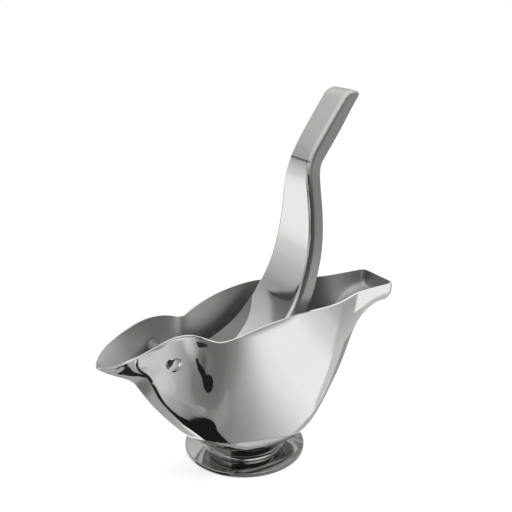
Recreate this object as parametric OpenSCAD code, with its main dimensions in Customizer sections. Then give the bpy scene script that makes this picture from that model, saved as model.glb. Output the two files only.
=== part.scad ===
// Hand lemon squeezer shaped like a bird: a pressed steel bowl with a pouring beak and an open tail
// stands on a round foot, and a pressed lever with a broad presser turns on a rivet through the head.
// Origin: on the table, halfway between the tip of the beak and the end of the tail. The beak points
// along -X, the tail along +X, Z is up, and the two sides mirror each other across Y = 0. The lever is
// drawn raised, as it is displayed.

/* [Bowl] */
// Length from the tip of the beak to the end of the tail
body_length = 118; // [110:1:126]
// Width across the rim at its widest
bowl_width = 37; // [35:0.5:40]
// Height of the highest point of the rim above the table
rim_height = 57.7; // [54:0.1:62]
// Thickness of the bowl's sheet
bowl_sheet = 0.8; // [0.7:0.05:1]
// Corner radius of the tail's end, seen from above
tail_corner = 3.3; // [2.6:0.1:4]

/* [Foot] */
// Diameter of the foot
foot_diameter = 45; // [40:1:52]
// Height of the foot's edge
foot_edge = 1.5; // [1.3:0.1:2]
// Thickness of the foot's sheet
foot_sheet = 0.9; // [0.7:0.1:1.1]
// Outer diameter of the neck between foot and bowl
neck_diameter = 27.4; // [25:0.2:28]
// Radius of the hollow between the neck and the flat of the foot
neck_fillet = 1.9; // [1.4:0.1:2.2]

/* [Hinge] */
// Diameter of the rivet's shank
rivet_diameter = 3.2; // [2.8:0.1:3.4]
// Diameter of the rivet's domed heads
rivet_head = 5.6; // [5:0.1:6.4]
// Height of the domes above the heads' rims
rivet_dome = 1.1; // [0.8:0.1:1.4]
// Outer diameter of the sleeve that turns on the rivet
sleeve_diameter = 4.7; // [4.4:0.1:5.2]
// Radial clearance of the sleeve on the rivet
running_clearance = 0.05; // [0.03:0.01:0.1]
// Radial clearance of the rivet in the bowl's walls
hole_clearance = 0.03; // [0.02:0.01:0.05]
// Play between each end of the sleeve and the leaning wall beside it
side_play = 0.35; // [0.3:0.01:0.5]

/* [Lever] */
// Horizontal distance from the hinge to the tip of the grip
lever_reach = 70.6; // [66:0.1:76]
// Height of the tip of the grip above the hinge
lever_rise = 85.2; // [80:0.1:92]
// Thickness of the lever's sheet
lever_sheet = 1.2; // [1:0.05:1.4]
// Gap between the presser's widest part and the inside of the bowl's widest part
presser_gap = 4.3; // [4:0.1:6]
// Depth of the skirt along the presser
skirt_depth = 6; // [5.4:0.1:6.6]
// Outside radius of the fold between face and skirt
fold_radius = 1.8; // [1.5:0.1:2.2]
// Radius over which the grip's end turns down
grip_end_radius = 5; // [4.4:0.1:5.4]

/* [Hidden] */

// Number of facets on the round pieces, which are rebuilt as true cylinders
round_facets = 96;
// One overrun for every cut
cut_over = 1;

// Stations of the bowl from beak to tail. Along the length they are shares of body_length from its
// middle, heights are shares of rim_height and half widths are shares of half the bowl_width.
// Each: rim place, rim height, rim half width, flank half width, keel place, keel height,
// squareness of the section (2 is an ellipse), share of vee in the section.
bowl_station_shares = [
    [-0.499, 0.811, 0.086, 0.086, -0.501, 0.803, 2.0, 1.00],
    [-0.485, 0.822, 0.258, 0.258, -0.487, 0.780, 2.0, 1.00],
    [-0.452, 0.856, 0.434, 0.434, -0.457, 0.738, 2.0, 1.00],
    [-0.406, 0.898, 0.514, 0.514, -0.416, 0.692, 2.0, 1.00],
    [-0.364, 0.933, 0.557, 0.560, -0.392, 0.659, 2.0, 0.80],
    [-0.330, 0.957, 0.565, 0.600, -0.374, 0.582, 2.1, 0.60],
    [-0.300, 0.970, 0.557, 0.630, -0.345, 0.482, 2.1, 0.50],
    [-0.266, 0.968, 0.551, 0.675, -0.307, 0.378, 2.1, 0.42],
    [-0.233, 0.953, 0.553, 0.735, -0.267, 0.273, 2.2, 0.34],
    [-0.203, 0.918, 0.602, 0.800, -0.224, 0.176, 2.6, 0.20],
    [-0.175, 0.897, 0.763, 0.854, -0.176, 0.100, 3.4, 0.08],
    [-0.123, 0.926, 0.885, 0.892, -0.119, 0.071, 4.5, 0.00],
    [-0.038, 0.973, 0.966, 0.966, -0.056, 0.057, 6.0, 0.00],
    [0.082, 1.000, 1.000, 1.000, 0.026, 0.057, 5.7, 0.00],
    [0.196, 0.989, 0.927, 0.927, 0.121, 0.090, 3.25, 0.00],
    [0.267, 0.981, 0.784, 0.784, 0.211, 0.168, 2.2, 0.00],
    [0.313, 0.977, 0.641, 0.641, 0.280, 0.297, 2.0, 0.00],
    [0.343, 0.980, 0.587, 0.587, 0.320, 0.454, 1.8, 0.00],
    [0.372, 0.979, 0.559, 0.559, 0.330, 0.613, 1.8, 0.00],
    [0.399, 0.979, 0.548, 0.548, 0.346, 0.740, 2.2, 0.00],
    [0.432, 0.979, 0.541, 0.541, 0.388, 0.810, 2.8, 0.00],
    [0.466, 0.978, 0.526, 0.526, 0.440, 0.837, 3.4, 0.00],
];
// End of the tail: its place and height at the rim, the keel's last place and height, its squareness
tail_end_shares = [0.501, 0.978, 0.474, 0.851];
tail_squareness = 3.6;
// Roundness of the keel's nose, as a share of the half width
nose_share = 0.16;
// Height shares over which the flank's width passes into the rim's width
flank_share = 0.3;
flank_blend_share = 0.65;
// Height of the flat pressed into the underside for the foot, the softness of its edge, and how far
// above the flat the neck's top is let into the underside, as a share of that softness
seat_share = 0.073;
seat_blend_share = 0.014;
neck_let_share = 0.8;
// Sections drawn between two stations, and steps from keel to rim
bowl_steps = 3;
rib_steps = 15;

// Place of the foot's centre along the body
foot_place_share = -0.026;

// Place and height of the rivet's axis
pivot_place_share = -0.2997;
pivot_height_share = 0.797;

// Stations of the lever from the hinge to the grip. Place and height of the face are shares of
// lever_reach and lever_rise from the hinge, half widths are shares of half the presser's width,
// and depths of the skirt are shares of skirt_depth.
lever_station_shares = [
    [-0.035, 0.000, 0.330, 0.30],
    [0.011, 0.000, 0.360, 0.36],
    [0.085, -0.008, 0.400, 0.44],
    [0.170, -0.021, 0.460, 0.46],
    [0.245, -0.028, 0.600, 0.56],
    [0.285, -0.028, 0.730, 0.68],
    [0.325, -0.022, 0.850, 0.82],
    [0.412, -0.002, 0.955, 0.98],
    [0.506, 0.044, 0.980, 0.98],
    [0.594, 0.116, 1.000, 0.97],
    [0.666, 0.202, 0.955, 0.94],
    [0.720, 0.304, 0.890, 0.90],
    [0.751, 0.412, 0.835, 0.87],
    [0.763, 0.525, 0.745, 0.84],
    [0.761, 0.638, 0.640, 0.83],
    [0.768, 0.716, 0.530, 0.84],
    [0.790, 0.770, 0.478, 0.87],
    [0.834, 0.830, 0.478, 0.92],
    [0.896, 0.905, 0.485, 0.92],
];
grip_half_share = 0.49;
// How far the grip's face runs on before its end turns down, back from the tip, in end radii
grip_turn_share = 0.55;
lever_steps = 3;
fold_steps = 5;
end_steps = 7;
// The sleeve sinks this far into the face of the lever, where the two are welded
weld_depth = 0.1;
// How deep the rivet's heads are pressed into the wall, as a share of its sheet, and how high their
// rims stand, as a share of the wall's rise across a head
rivet_seat_share = 0.4;
rivet_rim_share = 0.4;

half_bowl = bowl_width / 2;
pivot_x = pivot_place_share * body_length;
pivot_z = pivot_height_share * rim_height;
presser_half = half_bowl - bowl_sheet - presser_gap;
seat_height = seat_share * rim_height;
seat_blend = seat_blend_share * rim_height;
foot_x = foot_place_share * body_length;
neck_radius = neck_diameter / 2;
foot_radius = foot_diameter / 2;
rivet_hole = rivet_diameter + 2 * hole_clearance;

// Point at share f between p1 and p2 on the smooth curve through four stations
function smooth_between(p0, p1, p2, p3, f) = 0.5 * (2 * p1 + (p2 - p0) * f
    + (2 * p0 - 5 * p1 + 4 * p2 - p3) * f * f + (3 * p1 - p0 - 3 * p2 + p3) * f * f * f);

// All stations of a list, with steps - 1 more between each two
function smooth_list(list, steps) = let (last = len(list) - 1) [
    for (i = [0:last - 1], s = [0:steps - 1])
        smooth_between(list[max(i - 1, 0)], list[i], list[i + 1], list[min(i + 2, last)], s / steps),
    list[last]
];

function unit(v) = v / norm(v);
function mirrored(p) = [p[0], -p[1], p[2]];

// Bowl: stations in millimetres, with the tail's corner as an arc and the flat end behind it
function bowl_station(s) = [s[0] * body_length, s[1] * rim_height, s[2] * half_bowl, s[3] * half_bowl,
    s[4] * body_length, s[5] * rim_height, s[6], s[7]];
tail_x = tail_end_shares[0] * body_length;
tail_z = tail_end_shares[1] * rim_height;
tail_half = bowl_station_shares[len(bowl_station_shares) - 1][2] * half_bowl;
tail_keel_x = tail_end_shares[2] * body_length;
tail_keel_z = tail_end_shares[3] * rim_height;
tail_keel_start = bowl_station_shares[len(bowl_station_shares) - 1][4] * body_length;
tail_keel_low = bowl_station_shares[len(bowl_station_shares) - 1][5] * rim_height;
corner_angles = [15, 35, 55, 75, 90];

function tail_station(half, x, along) = [x, tail_z, half, half,
    tail_keel_start + (tail_keel_x - tail_keel_start) * along,
    tail_keel_low + (tail_keel_z - tail_keel_low) * along, tail_squareness, 0];

bowl_stations = concat(
    smooth_list([for (s = bowl_station_shares) bowl_station(s)], bowl_steps),
    [for (i = [0:len(corner_angles) - 1]) tail_station(
        tail_half - tail_corner * (1 - cos(corner_angles[i])),
        tail_x - tail_corner * (1 - sin(corner_angles[i])),
        (i + 1) / (len(corner_angles) + 2))],
    [tail_station((tail_half - tail_corner) / 2, tail_x, 1 - 1 / (len(corner_angles) + 2)),
     tail_station(0, tail_x, 1)]);

// Half section of the bowl at station s: angle a runs from the keel, 0, to the rim, 90
function bowl_point(s, a) =
    let (square = s[6],
         r = pow(pow(cos(a), square) + pow(sin(a), square), -1 / square),
         t = a == 90 ? 1 : r * sin(a),
         round = a == 90 ? 1 : 1 - r * cos(a),
         vee = (sqrt(nose_share * nose_share + t * t) - nose_share)
             / (sqrt(nose_share * nose_share + 1) - nose_share),
         h = s[7] * vee + (1 - s[7]) * round,
         b = max(0, min(1, (h - flank_share) / flank_blend_share)),
         to_rim = b * b * (3 - 2 * b),
         half = s[2] * to_rim + s[3] * (1 - to_rim),
         above_seat = s[5] + (s[1] - s[5]) * h - seat_height)
    [s[4] + (s[0] - s[4]) * t,
     half * t,
     seat_height + (above_seat + sqrt(above_seat * above_seat + seat_blend * seat_blend)) / 2];

bowl_grid = [for (s = bowl_stations) [for (j = [0:rib_steps]) bowl_point(s, 90 * j / rib_steps)]];
bowl_last = len(bowl_grid) - 1;

// Outward direction of the bowl's skin at station i and step j
function bowl_along(i, j) = i == bowl_last
    ? mirrored(bowl_grid[i - 1][j]) - bowl_grid[i - 1][j]
    : bowl_grid[i + 1][j] - bowl_grid[max(i - 1, 0)][j];
function bowl_across(i, j) = j == 0
    ? bowl_grid[i][1] - mirrored(bowl_grid[i][1])
    : bowl_grid[i][min(j + 1, rib_steps)] - bowl_grid[i][j - 1];
function bowl_normal(i, j) = i == bowl_last && j == 0
    ? bowl_normal(i - 1, j)
    : unit(cross(bowl_across(i, j), bowl_along(i, j)));
bowl_inner = [for (i = [0:bowl_last]) [for (j = [0:rib_steps])
    bowl_grid[i][j] - bowl_sheet * bowl_normal(i, j)]];

// The head's wall where the rivet passes, as the plane of the grid's nearest point
function pivot_distance(p) = norm([p[0] - pivot_x, p[2] - pivot_z]);
wall_distance = min([for (rib = bowl_grid) min([for (p = rib) pivot_distance(p)])]);
wall_index = [for (i = [0:bowl_last], j = [0:rib_steps])
    if (pivot_distance(bowl_grid[i][j]) == wall_distance) [i, j]][0];
wall_point = bowl_grid[wall_index[0]][wall_index[1]];
wall_normal = bowl_normal(wall_index[0], wall_index[1]);
wall_lean = norm([wall_normal[0], wall_normal[2]]) / wall_normal[1];
head_half = wall_point[1] - (wall_normal[0] * (pivot_x - wall_point[0])
    + wall_normal[2] * (pivot_z - wall_point[2])) / wall_normal[1];
head_inside = head_half - bowl_sheet / wall_normal[1];
sleeve_half = head_inside - wall_lean * sleeve_diameter / 2 - side_play;

// Closed sheet between an outer and an inner grid of half sections. The far half is the mirror image.
// With closed_end the two halves meet at the last station, otherwise the sheet ends there in an edge.
module pressed_sheet(outer, inner, closed_end) {
    n = len(outer);
    m = len(outer[0]);
    full = 2 * m - 1;
    side = function (grid) [for (i = [0:n - 1], k = [0:full - 1])
        k < m - 1 ? mirrored(grid[i][m - 1 - k]) : grid[i][k - m + 1]];
    points = concat(side(outer), side(inner));
    // Across the closed end the far half's points are the near half's own
    at = function (i, k) i * full + (closed_end && i == n - 1 && k < m - 1 ? full - 1 - k : k);
    below = n * full;
    skin = [for (i = [0:n - 2], k = [0:full - 2]) each [
        [at(i, k), at(i + 1, k), at(i + 1, k + 1)],
        [at(i, k), at(i + 1, k + 1), at(i, k + 1)]]];
    lining = [for (i = [0:n - 2], k = [0:full - 2]) each [
        [below + at(i, k), below + at(i + 1, k + 1), below + at(i + 1, k)],
        [below + at(i, k), below + at(i, k + 1), below + at(i + 1, k + 1)]]];
    edge = function (a, b) [[a, b, below + b], [a, below + b, below + a]];
    sides = [for (i = [0:n - 2]) each concat(
        edge(at(i + 1, 0), at(i, 0)), edge(at(i, full - 1), at(i + 1, full - 1)))];
    front = [for (k = [0:full - 2]) each edge(at(0, k), at(0, k + 1))];
    back = closed_end ? [] : [for (k = [0:full - 2]) each edge(at(n - 1, k + 1), at(n - 1, k))];
    faces = [for (f = concat(skin, lining, sides, front, back))
        if (f[0] != f[1] && f[1] != f[2] && f[2] != f[0]) f];
    polyhedron(points, faces, convexity = 8);
}

// Lever: stations in millimetres from the hinge, then the grip's end as an arc
face_z = pivot_z - sleeve_diameter / 2 + weld_depth;
function lever_station(s) = [pivot_x + s[0] * lever_reach, face_z + s[1] * lever_rise,
    s[2] * presser_half, s[3] * skirt_depth];
lever_line = [for (s = lever_station_shares) lever_station(s)];
grip_tip = [pivot_x + lever_reach, pivot_z + lever_rise];
grip_start = [lever_line[len(lever_line) - 1][0], lever_line[len(lever_line) - 1][1]];
grip_along = unit(grip_tip - grip_start);
grip_down = [grip_along[1], -grip_along[0]];
turn_start = grip_tip - grip_along * grip_end_radius * grip_turn_share;
turn_centre = turn_start + grip_down * grip_end_radius;
grip_half = grip_half_share * presser_half;

lever_run = smooth_list(concat(lever_line,
    [[turn_start[0], turn_start[1], grip_half, grip_end_radius]]), lever_steps);
lever_turn = [for (k = [1:end_steps]) let (a = 90 * k / end_steps,
    p = turn_centre + grip_end_radius * (grip_along * sin(a) - grip_down * cos(a)))
    [p[0], p[1], grip_half, grip_end_radius]];
lever_stations = concat(lever_run, lever_turn);
lever_last = len(lever_stations) - 1;

function lever_place(i) = [lever_stations[i][0], lever_stations[i][1]];
// Direction from the face into the hollow: square to the run of the face, and exact round the end
function lever_inward(i) = i >= len(lever_run) - 1
    ? unit(turn_centre - lever_place(i))
    : let (run = unit(lever_place(i + 1) - lever_place(max(i - 1, 0)))) [run[1], -run[0]];

// Half section of the lever: face, fold and skirt, a distance inset inside the outer skin
function lever_section(half, depth, inset) = let (f = min(fold_radius, 0.8 * depth)) concat(
    [[0, inset], [(half - f) / 2, inset]],
    [for (k = [0:fold_steps]) let (a = 90 * k / fold_steps, r = max(f - inset, 0.01 * f))
        [half - inset - r + r * sin(a), inset + r - r * cos(a)]],
    [[half - inset, (depth + max(f, inset)) / 2], [half - inset, depth]]);

// The grid runs from the grip to the hinge, so that its skin faces outwards
function lever_grid(inset) = [for (i = [lever_last:-1:0]) let (s = lever_stations[i], into = lever_inward(i))
    [for (q = lever_section(s[2], s[3], inset)) [s[0] + into[0] * q[1], q[0], s[1] + into[1] * q[1]]]];

module bowl() {
    color("silver") difference() {
        pressed_sheet(bowl_grid, bowl_inner, true);
        translate([pivot_x, 0, pivot_z]) rotate([90, 0, 0])
            cylinder(d = rivet_hole, h = bowl_width + cut_over, center = true, $fn = round_facets);
    }
}

// The foot is one pressing, open below: a turned-down edge, a flat, a hollow fillet and the neck
module foot() {
    neck_top = seat_height + seat_blend * neck_let_share;
    fillet_centre = [neck_radius + neck_fillet, foot_edge + neck_fillet];
    fillet_steps = 10;
    color("lightgray") translate([foot_x, 0, 0]) rotate_extrude($fn = round_facets) polygon(concat(
        [[foot_radius - foot_sheet, 0], [foot_radius, 0]],
        [for (a = [0:30:90]) [foot_radius - foot_sheet / 2 * (1 - cos(a)),
            foot_edge - foot_sheet / 2 * (1 - sin(a))]],
        [for (k = [0:fillet_steps]) let (a = 270 - 90 * k / fillet_steps)
            fillet_centre + neck_fillet * [cos(a), sin(a)]],
        [[neck_radius, neck_top], [neck_radius - foot_sheet, neck_top]],
        [for (k = [fillet_steps:-1:0]) let (a = 270 - 90 * k / fillet_steps)
            fillet_centre + (neck_fillet + foot_sheet) * [cos(a), sin(a)]],
        [[foot_radius - foot_sheet, foot_edge - foot_sheet]]));
}

// Rivet through both walls of the head. Its domed heads are square to the axis, so that they stand
// proud on the beak's side of the leaning walls, and each is bedded a little way into its wall.
module hinge_rivet() {
    head_radius = rivet_head / 2;
    dome_radius = (head_radius * head_radius + rivet_dome * rivet_dome) / (2 * rivet_dome);
    dome_top = head_half + wall_lean * head_radius * rivet_rim_share + rivet_dome;
    color("gainsboro") {
        translate([pivot_x, 0, pivot_z]) rotate([90, 0, 0])
            cylinder(d = rivet_diameter, h = 2 * head_half, center = true, $fn = round_facets);
        for (side = [0, 1]) mirror([0, side, 0]) intersection() {
            translate([pivot_x, 0, pivot_z]) rotate([-90, 0, 0]) {
                intersection() {
                    translate([0, 0, dome_top - dome_radius]) sphere(r = dome_radius, $fn = round_facets);
                    cylinder(r = head_radius, h = dome_top, $fn = round_facets);
                }
            }
            // Only what lies outside the bed in the wall
            translate([pivot_x, head_half, pivot_z] - wall_normal * bowl_sheet * rivet_seat_share)
                rotate([0, acos(wall_normal[2]), atan2(wall_normal[1], wall_normal[0])])
                    cylinder(r = rivet_head, h = rivet_head, $fn = round_facets);
        }
    }
}

module lever() {
    color("silver") pressed_sheet(lever_grid(0), lever_grid(lever_sheet), false);
}

// Sleeve that turns on the rivet and is welded to the lever's narrow end
module hinge_sleeve() {
    color("gainsboro") translate([pivot_x, 0, pivot_z]) rotate([90, 0, 0]) difference() {
        cylinder(d = sleeve_diameter, h = 2 * sleeve_half, center = true, $fn = round_facets);
        cylinder(d = rivet_diameter + 2 * running_clearance, h = 2 * (sleeve_half + cut_over),
            center = true, $fn = round_facets);
    }
}

bowl();
foot();
hinge_rivet();
lever();
hinge_sleeve();
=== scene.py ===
"""Lemon squeezer shaped like a bird, in polished and satin stainless steel, in a plain white studio."""
import logging
from dataclasses import dataclass
from enum import Enum
from math import asin, cos, dist, exp, hypot, radians, sin
from typing import Callable, Optional, Sequence, Union

import bpy
from bpy.types import ColorRamp, Material, Node, NodeSocket, NodeTree, Object
from mathutils import Matrix, Vector


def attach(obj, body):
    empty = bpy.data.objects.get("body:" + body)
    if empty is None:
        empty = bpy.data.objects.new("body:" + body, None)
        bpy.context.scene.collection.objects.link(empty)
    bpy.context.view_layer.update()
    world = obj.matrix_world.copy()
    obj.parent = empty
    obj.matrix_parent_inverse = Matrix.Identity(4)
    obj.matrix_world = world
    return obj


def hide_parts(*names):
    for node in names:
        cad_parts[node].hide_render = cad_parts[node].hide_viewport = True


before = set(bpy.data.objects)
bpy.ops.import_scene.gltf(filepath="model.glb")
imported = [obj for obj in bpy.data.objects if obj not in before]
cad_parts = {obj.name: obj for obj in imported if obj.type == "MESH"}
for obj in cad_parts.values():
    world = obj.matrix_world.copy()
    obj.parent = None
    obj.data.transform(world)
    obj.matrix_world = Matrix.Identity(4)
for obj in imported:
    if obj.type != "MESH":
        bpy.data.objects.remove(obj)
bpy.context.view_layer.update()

MM = 0.001
log = logging.getLogger("squeezer")

Row = Sequence[float]
Table = list[list[float]]
Grid = list[list[Vector]]
Pairs = Sequence[tuple[float, float]]
Value = Union["Shade", float]


class Body(Enum):
    """The two bodies of the squeezer."""

    BASE = "base"
    LEVER = "lever"


class Slot(Enum):
    """The record's material slots."""

    BOWL = "polished_steel"
    FOOT = "foot_steel"
    RIVET = "rivet_steel"
    LEVER = "satin_steel"
    SLEEVE = "sleeve_steel"


class Grain(Enum):
    """How the surface of the steel was last worked."""

    MIRROR = "mirror"
    SATIN = "satin"
    TURNED = "turned"


# Shaders

# scale of the noise along the tool's lines, against 1 across them
LINE_STRETCH = {Grain.MIRROR: 0.25, Grain.SATIN: 0.06, Grain.TURNED: 0.25}

# how much the lines and the wider clouds show in the tone
LINE_TONE = {Grain.MIRROR: 0.01, Grain.SATIN: 0.10, Grain.TURNED: 0.06}
CLOUD_TONE = 0.05

# octaves and the strength of the finer ones, for noise at the finish's own pitch
LINES = (3.0, 0.6)
WAVES = (1.0, 0.4)

# lumps to the metre, then the same two
CLOUDS = (90.0, 3.0, 0.55)
SPOTS = (420.0, 2.0, 0.5)

ROUGH_LIMITS = (0.02, 0.9)
BLUE_SHARE = 0.988

# the painted shadow line across the lever at its bend: where it begins, is full, ends and is gone, in
# millimetres
CREASE_STEPS = (-1.1, -0.4, 0.0, 0.3)
CREASE_SHADOW = 0.65


class Shade:
    """A shader value that takes part in Python expressions."""

    def __init__(self, bench: "Bench", socket: NodeSocket) -> None:
        """Keeps the socket and the bench that owns its node tree."""
        self.bench = bench
        self.socket = socket

    def _with(self, operation: str, other: Value, swapped: bool = False) -> "Shade":
        """Joins this value and another with one Math node, the other first if swapped."""
        pair = {0: other, 1: self} if swapped else {0: self, 1: other}
        return self.bench.value("Math", {"operation": operation}, pair)

    def __add__(self, other: Value) -> "Shade":
        """self + other, and other + self."""
        return self._with("ADD", other)

    __radd__ = __add__

    def __sub__(self, other: Value) -> "Shade":
        """self - other."""
        return self._with("SUBTRACT", other)

    def __rsub__(self, other: float) -> "Shade":
        """other - self."""
        return self._with("SUBTRACT", other, True)

    def __mul__(self, other: Value) -> "Shade":
        """self * other, and other * self."""
        return self._with("MULTIPLY", other)

    __rmul__ = __mul__

    def clipped(self, low: float, high: float) -> "Shade":
        """The value held between low and high."""
        return self._with("MAXIMUM", low)._with("MINIMUM", high)


class Bench:
    """Builds the node tree of one material or of the world."""

    def __init__(self, tree: NodeTree) -> None:
        """Empties the tree and keeps it."""
        self.tree = tree
        tree.nodes.clear()

    def node(self, kind: str, settings: Optional[dict] = None,
             sockets: Optional[dict] = None) -> Node:
        """Adds a node, sets it up and fills its sockets.

        Args:
            kind: the node's type without the ShaderNode prefix.
            settings: attributes that are set first; "ramp" holds a ramp's (place, grey) stops.
            sockets: socket name or number to a value, a Shade or an output socket.

        Returns:
            The new node.
        """
        made = self.tree.nodes.new("ShaderNode" + kind)
        for key, value in (settings or {}).items():
            if key == "ramp":
                self._fill_ramp(made.color_ramp, value)
            else:
                setattr(made, key, value)
        for key, value in (sockets or {}).items():
            if isinstance(value, Shade):
                self.tree.links.new(value.socket, made.inputs[key])
            elif isinstance(value, NodeSocket):
                self.tree.links.new(value, made.inputs[key])
            else:
                made.inputs[key].default_value = value
        return made

    @staticmethod
    def _fill_ramp(ramp: ColorRamp, stops: Pairs) -> None:
        """Gives a ramp its grey stops.

        Args:
            ramp: the ramp to fill.
            stops: pairs of place and grey.
        """
        while len(ramp.elements) < len(stops):
            ramp.elements.new(0.5)
        for element, (place, grey) in zip(ramp.elements, stops):
            element.position = place
            element.color = (grey, grey, grey, 1)

    def value(self, kind: str, settings: Optional[dict] = None, sockets: Optional[dict] = None,
              output: Union[int, str] = 0) -> Shade:
        """One output of a new node, by its number or name, as a value."""
        return Shade(self, self.node(kind, settings, sockets).outputs[output])

    def here(self) -> NodeSocket:
        """Object coordinates."""
        return self.node("TexCoord").outputs["Object"]

    def drawn_out(self, scale: Row, turn: Row) -> NodeSocket:
        """Object coordinates, turned by angles in radians and then scaled along each axis."""
        swung = self.node("Mapping", {"vector_type": "POINT"}, {"Vector": self.here(), "Rotation": turn})
        return self.node("Mapping", {"vector_type": "POINT"},
                         {"Vector": swung.outputs[0], "Scale": scale}).outputs[0]

    def noise(self, vector: NodeSocket, scale: float, detail: float, rough: float) -> Shade:
        """Noise from 0 to 1, with scale lumps to the metre."""
        return self.value("TexNoise", {}, {"Vector": vector, "Scale": scale, "Detail": detail,
                                           "Roughness": rough})

    def between(self, value: Shade, low: float, high: float, first: float = 0.0, last: float = 1.0) -> Shade:
        """Maps low..high of a value smoothly to first..last."""
        return self.value("MapRange", {"interpolation_type": "SMOOTHSTEP"},
                          {0: value, 1: low, 2: high, 3: first, 4: last})

    def graded(self, value: Shade, stops: Pairs, unit: float = 1.0) -> Shade:
        """Reads a grey off a row of stops.

        Args:
            value: the value that is read.
            stops: pairs of place and grey, from the lowest place to the highest.
            unit: what one unit of place is in the value.

        Returns:
            The grey at that place, or the nearer end's outside the row.
        """
        first, last = stops[0][0], stops[-1][0]
        share = self.value("MapRange", {}, {0: value, 1: first * unit, 2: last * unit})
        shares = [((place - first) / (last - first), grey) for place, grey in stops]
        return self.value("ValToRGB", {"ramp": shares}, {0: share})

    def emitting(self, tone: Value, share: Shade, rest: NodeSocket) -> None:
        """Ends a material in a glow over another shader.

        Args:
            tone: strength of the glow.
            share: how much of the glow shows.
            rest: the shader that shows elsewhere.
        """
        glow = self.node("Emission", {}, {"Color": (1, 1, 1, 1), "Strength": tone})
        both = self.node("MixShader", {}, {0: share, 1: rest, 2: glow.outputs[0]})
        self.node("OutputMaterial", {}, {"Surface": both.outputs[0]})


def blank(name: str) -> tuple[Material, Bench]:
    """Starts a material.

    Args:
        name: the material's name.

    Returns:
        The material and the bench for its nodes.
    """
    made = bpy.data.materials.new(name)
    made.use_nodes = True
    return made, Bench(made.node_tree)


@dataclass(frozen=True)
class SteelFinish:
    """Stainless steel as one tool or wheel left it, with lengths in millimetres.

    Attributes:
        rough_play: how far the roughness wanders.
        grain_pitch, grain_depth, grain_turn: width, depth and turns in degrees of the tool's lines.
        wave_size, wave_depth: width and depth of the sheet's soft waves.
        dull: strength of the small dull spots.
        painted_shadow_line: height of the painted shadow line across the lever's bend, or 0 for none.
    """

    name: str
    grain: Grain
    grey: float
    rough: float
    rough_play: float
    grain_pitch: float
    grain_depth: float
    grain_turn: tuple = (0, 0, 0)
    wave_size: float = 14.0
    wave_depth: float = 0.0
    dull: float = 0.0
    painted_shadow_line: float = 0.0

    def material(self) -> Material:
        """Builds the finish.

        Returns:
            The material.
        """
        made, bench = blank(self.name)
        turn = [radians(angle) for angle in self.grain_turn]
        along = bench.drawn_out((LINE_STRETCH[self.grain], 1.0, 1.0), turn)
        plain = bench.here()
        lines = bench.noise(along, 1 / (self.grain_pitch * MM), *LINES) - 0.5
        cloud = bench.noise(plain, *CLOUDS) - 0.5
        spots = bench.noise(plain, *SPOTS) - 0.5
        rough = self.rough + self.rough_play * cloud * 2 + self.rough_play * lines
        tone = self.grey * (1 + CLOUD_TONE * cloud + self.dull * spots + LINE_TONE[self.grain] * lines)
        # a painted shadow line: the tone is darkened in a thin band across the lever at its bend
        if self.painted_shadow_line:
            rise = bench.value("SeparateXYZ", {}, {0: plain}, "Z")
            begins, full, ends, gone = [(self.painted_shadow_line + step) * MM for step in CREASE_STEPS]
            shadow_band = bench.between(rise, begins, full) * bench.between(rise, ends, gone, 1.0, 0.0)
            tone = tone * (1 - CREASE_SHADOW * shadow_band)
        colour = bench.node("CombineColor", {}, {0: tone, 1: tone, 2: tone * BLUE_SHARE})
        height = lines * (self.grain_depth * MM)
        if self.wave_depth:
            height = height + bench.noise(plain, 1 / (self.wave_size * MM), *WAVES) * (self.wave_depth * MM)
        bump = bench.node("Bump", {}, {"Strength": 1.0, "Distance": 1.0, "Height": height})
        steel = bench.node("BsdfPrincipled", {}, {
            "Base Color": colour.outputs[0], "Metallic": 1.0, "Roughness": rough.clipped(*ROUGH_LIMITS),
            "Normal": bump.outputs[0]})
        bench.node("OutputMaterial", {}, {"Surface": steel.outputs[0]})
        return made


class Finish(Enum):
    """The finishes of the squeezer."""

    OUTSIDE = SteelFinish("bowl_mirror", Grain.MIRROR, 0.80, 0.05, 0.015, 0.2, 0.0003, wave_depth=0.03)
    INSIDE = SteelFinish("bowl_satin", Grain.SATIN, 0.64, 0.46, 0.06, 0.16, 0.006, dull=0.06)
    EDGE = SteelFinish("cut_edge", Grain.SATIN, 0.80, 0.25, 0.04, 0.2, 0.002)
    # the lever's face carries the painted shadow line across its bend
    FACE = SteelFinish("lever_mirror", Grain.MIRROR, 0.80, 0.045, 0.015, 0.2, 0.0003, wave_depth=0.008,
                       painted_shadow_line=108.2)
    GRIP = SteelFinish("grip_satin", Grain.SATIN, 0.78, 0.36, 0.05, 0.12, 0.008, (0, 35, 40), dull=0.05)
    SKIRT = SteelFinish("skirt_satin", Grain.SATIN, 0.74, 0.34, 0.05, 0.14, 0.005, (0, 75, 0), dull=0.03)
    UNDER = SteelFinish("lever_under", Grain.SATIN, 0.55, 0.42, 0.06, 0.2, 0.008)
    # the foot's grey is set far below the other polished steel: partly the turned surface's lower shine,
    # partly painted shade for the foot under the bowl
    FOOT = SteelFinish("foot_polish", Grain.TURNED, 0.42, 0.10, 0.02, 0.2, 0.0005)
    DOME = SteelFinish("dome_polish", Grain.MIRROR, 0.76, 0.06, 0.02, 0.2, 0.0004)
    SLEEVE = SteelFinish("sleeve_turned", Grain.TURNED, 0.62, 0.28, 0.05, 0.12, 0.003)

    def made(self) -> Material:
        """The finish's material, built the first time that it is asked for."""
        return bpy.data.materials.get(self.value.name) or self.value.material()


# Mesh helpers

# millimetres: the least radius of a ring on the lathe, and the reach of a merge
TIP = 0.01
MERGE = 0.001

# degrees: from where a sheet's edge is broken, and from where an edge stays sharp on a turned piece
EDGE_ANGLE = 55
TURNED_ANGLE = 35


def only(piece: Object) -> None:
    """Selects one object and makes it active.

    Args:
        piece: the object.
    """
    bpy.ops.object.select_all(action="DESELECT")
    piece.select_set(True)
    bpy.context.view_layer.objects.active = piece


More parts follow.
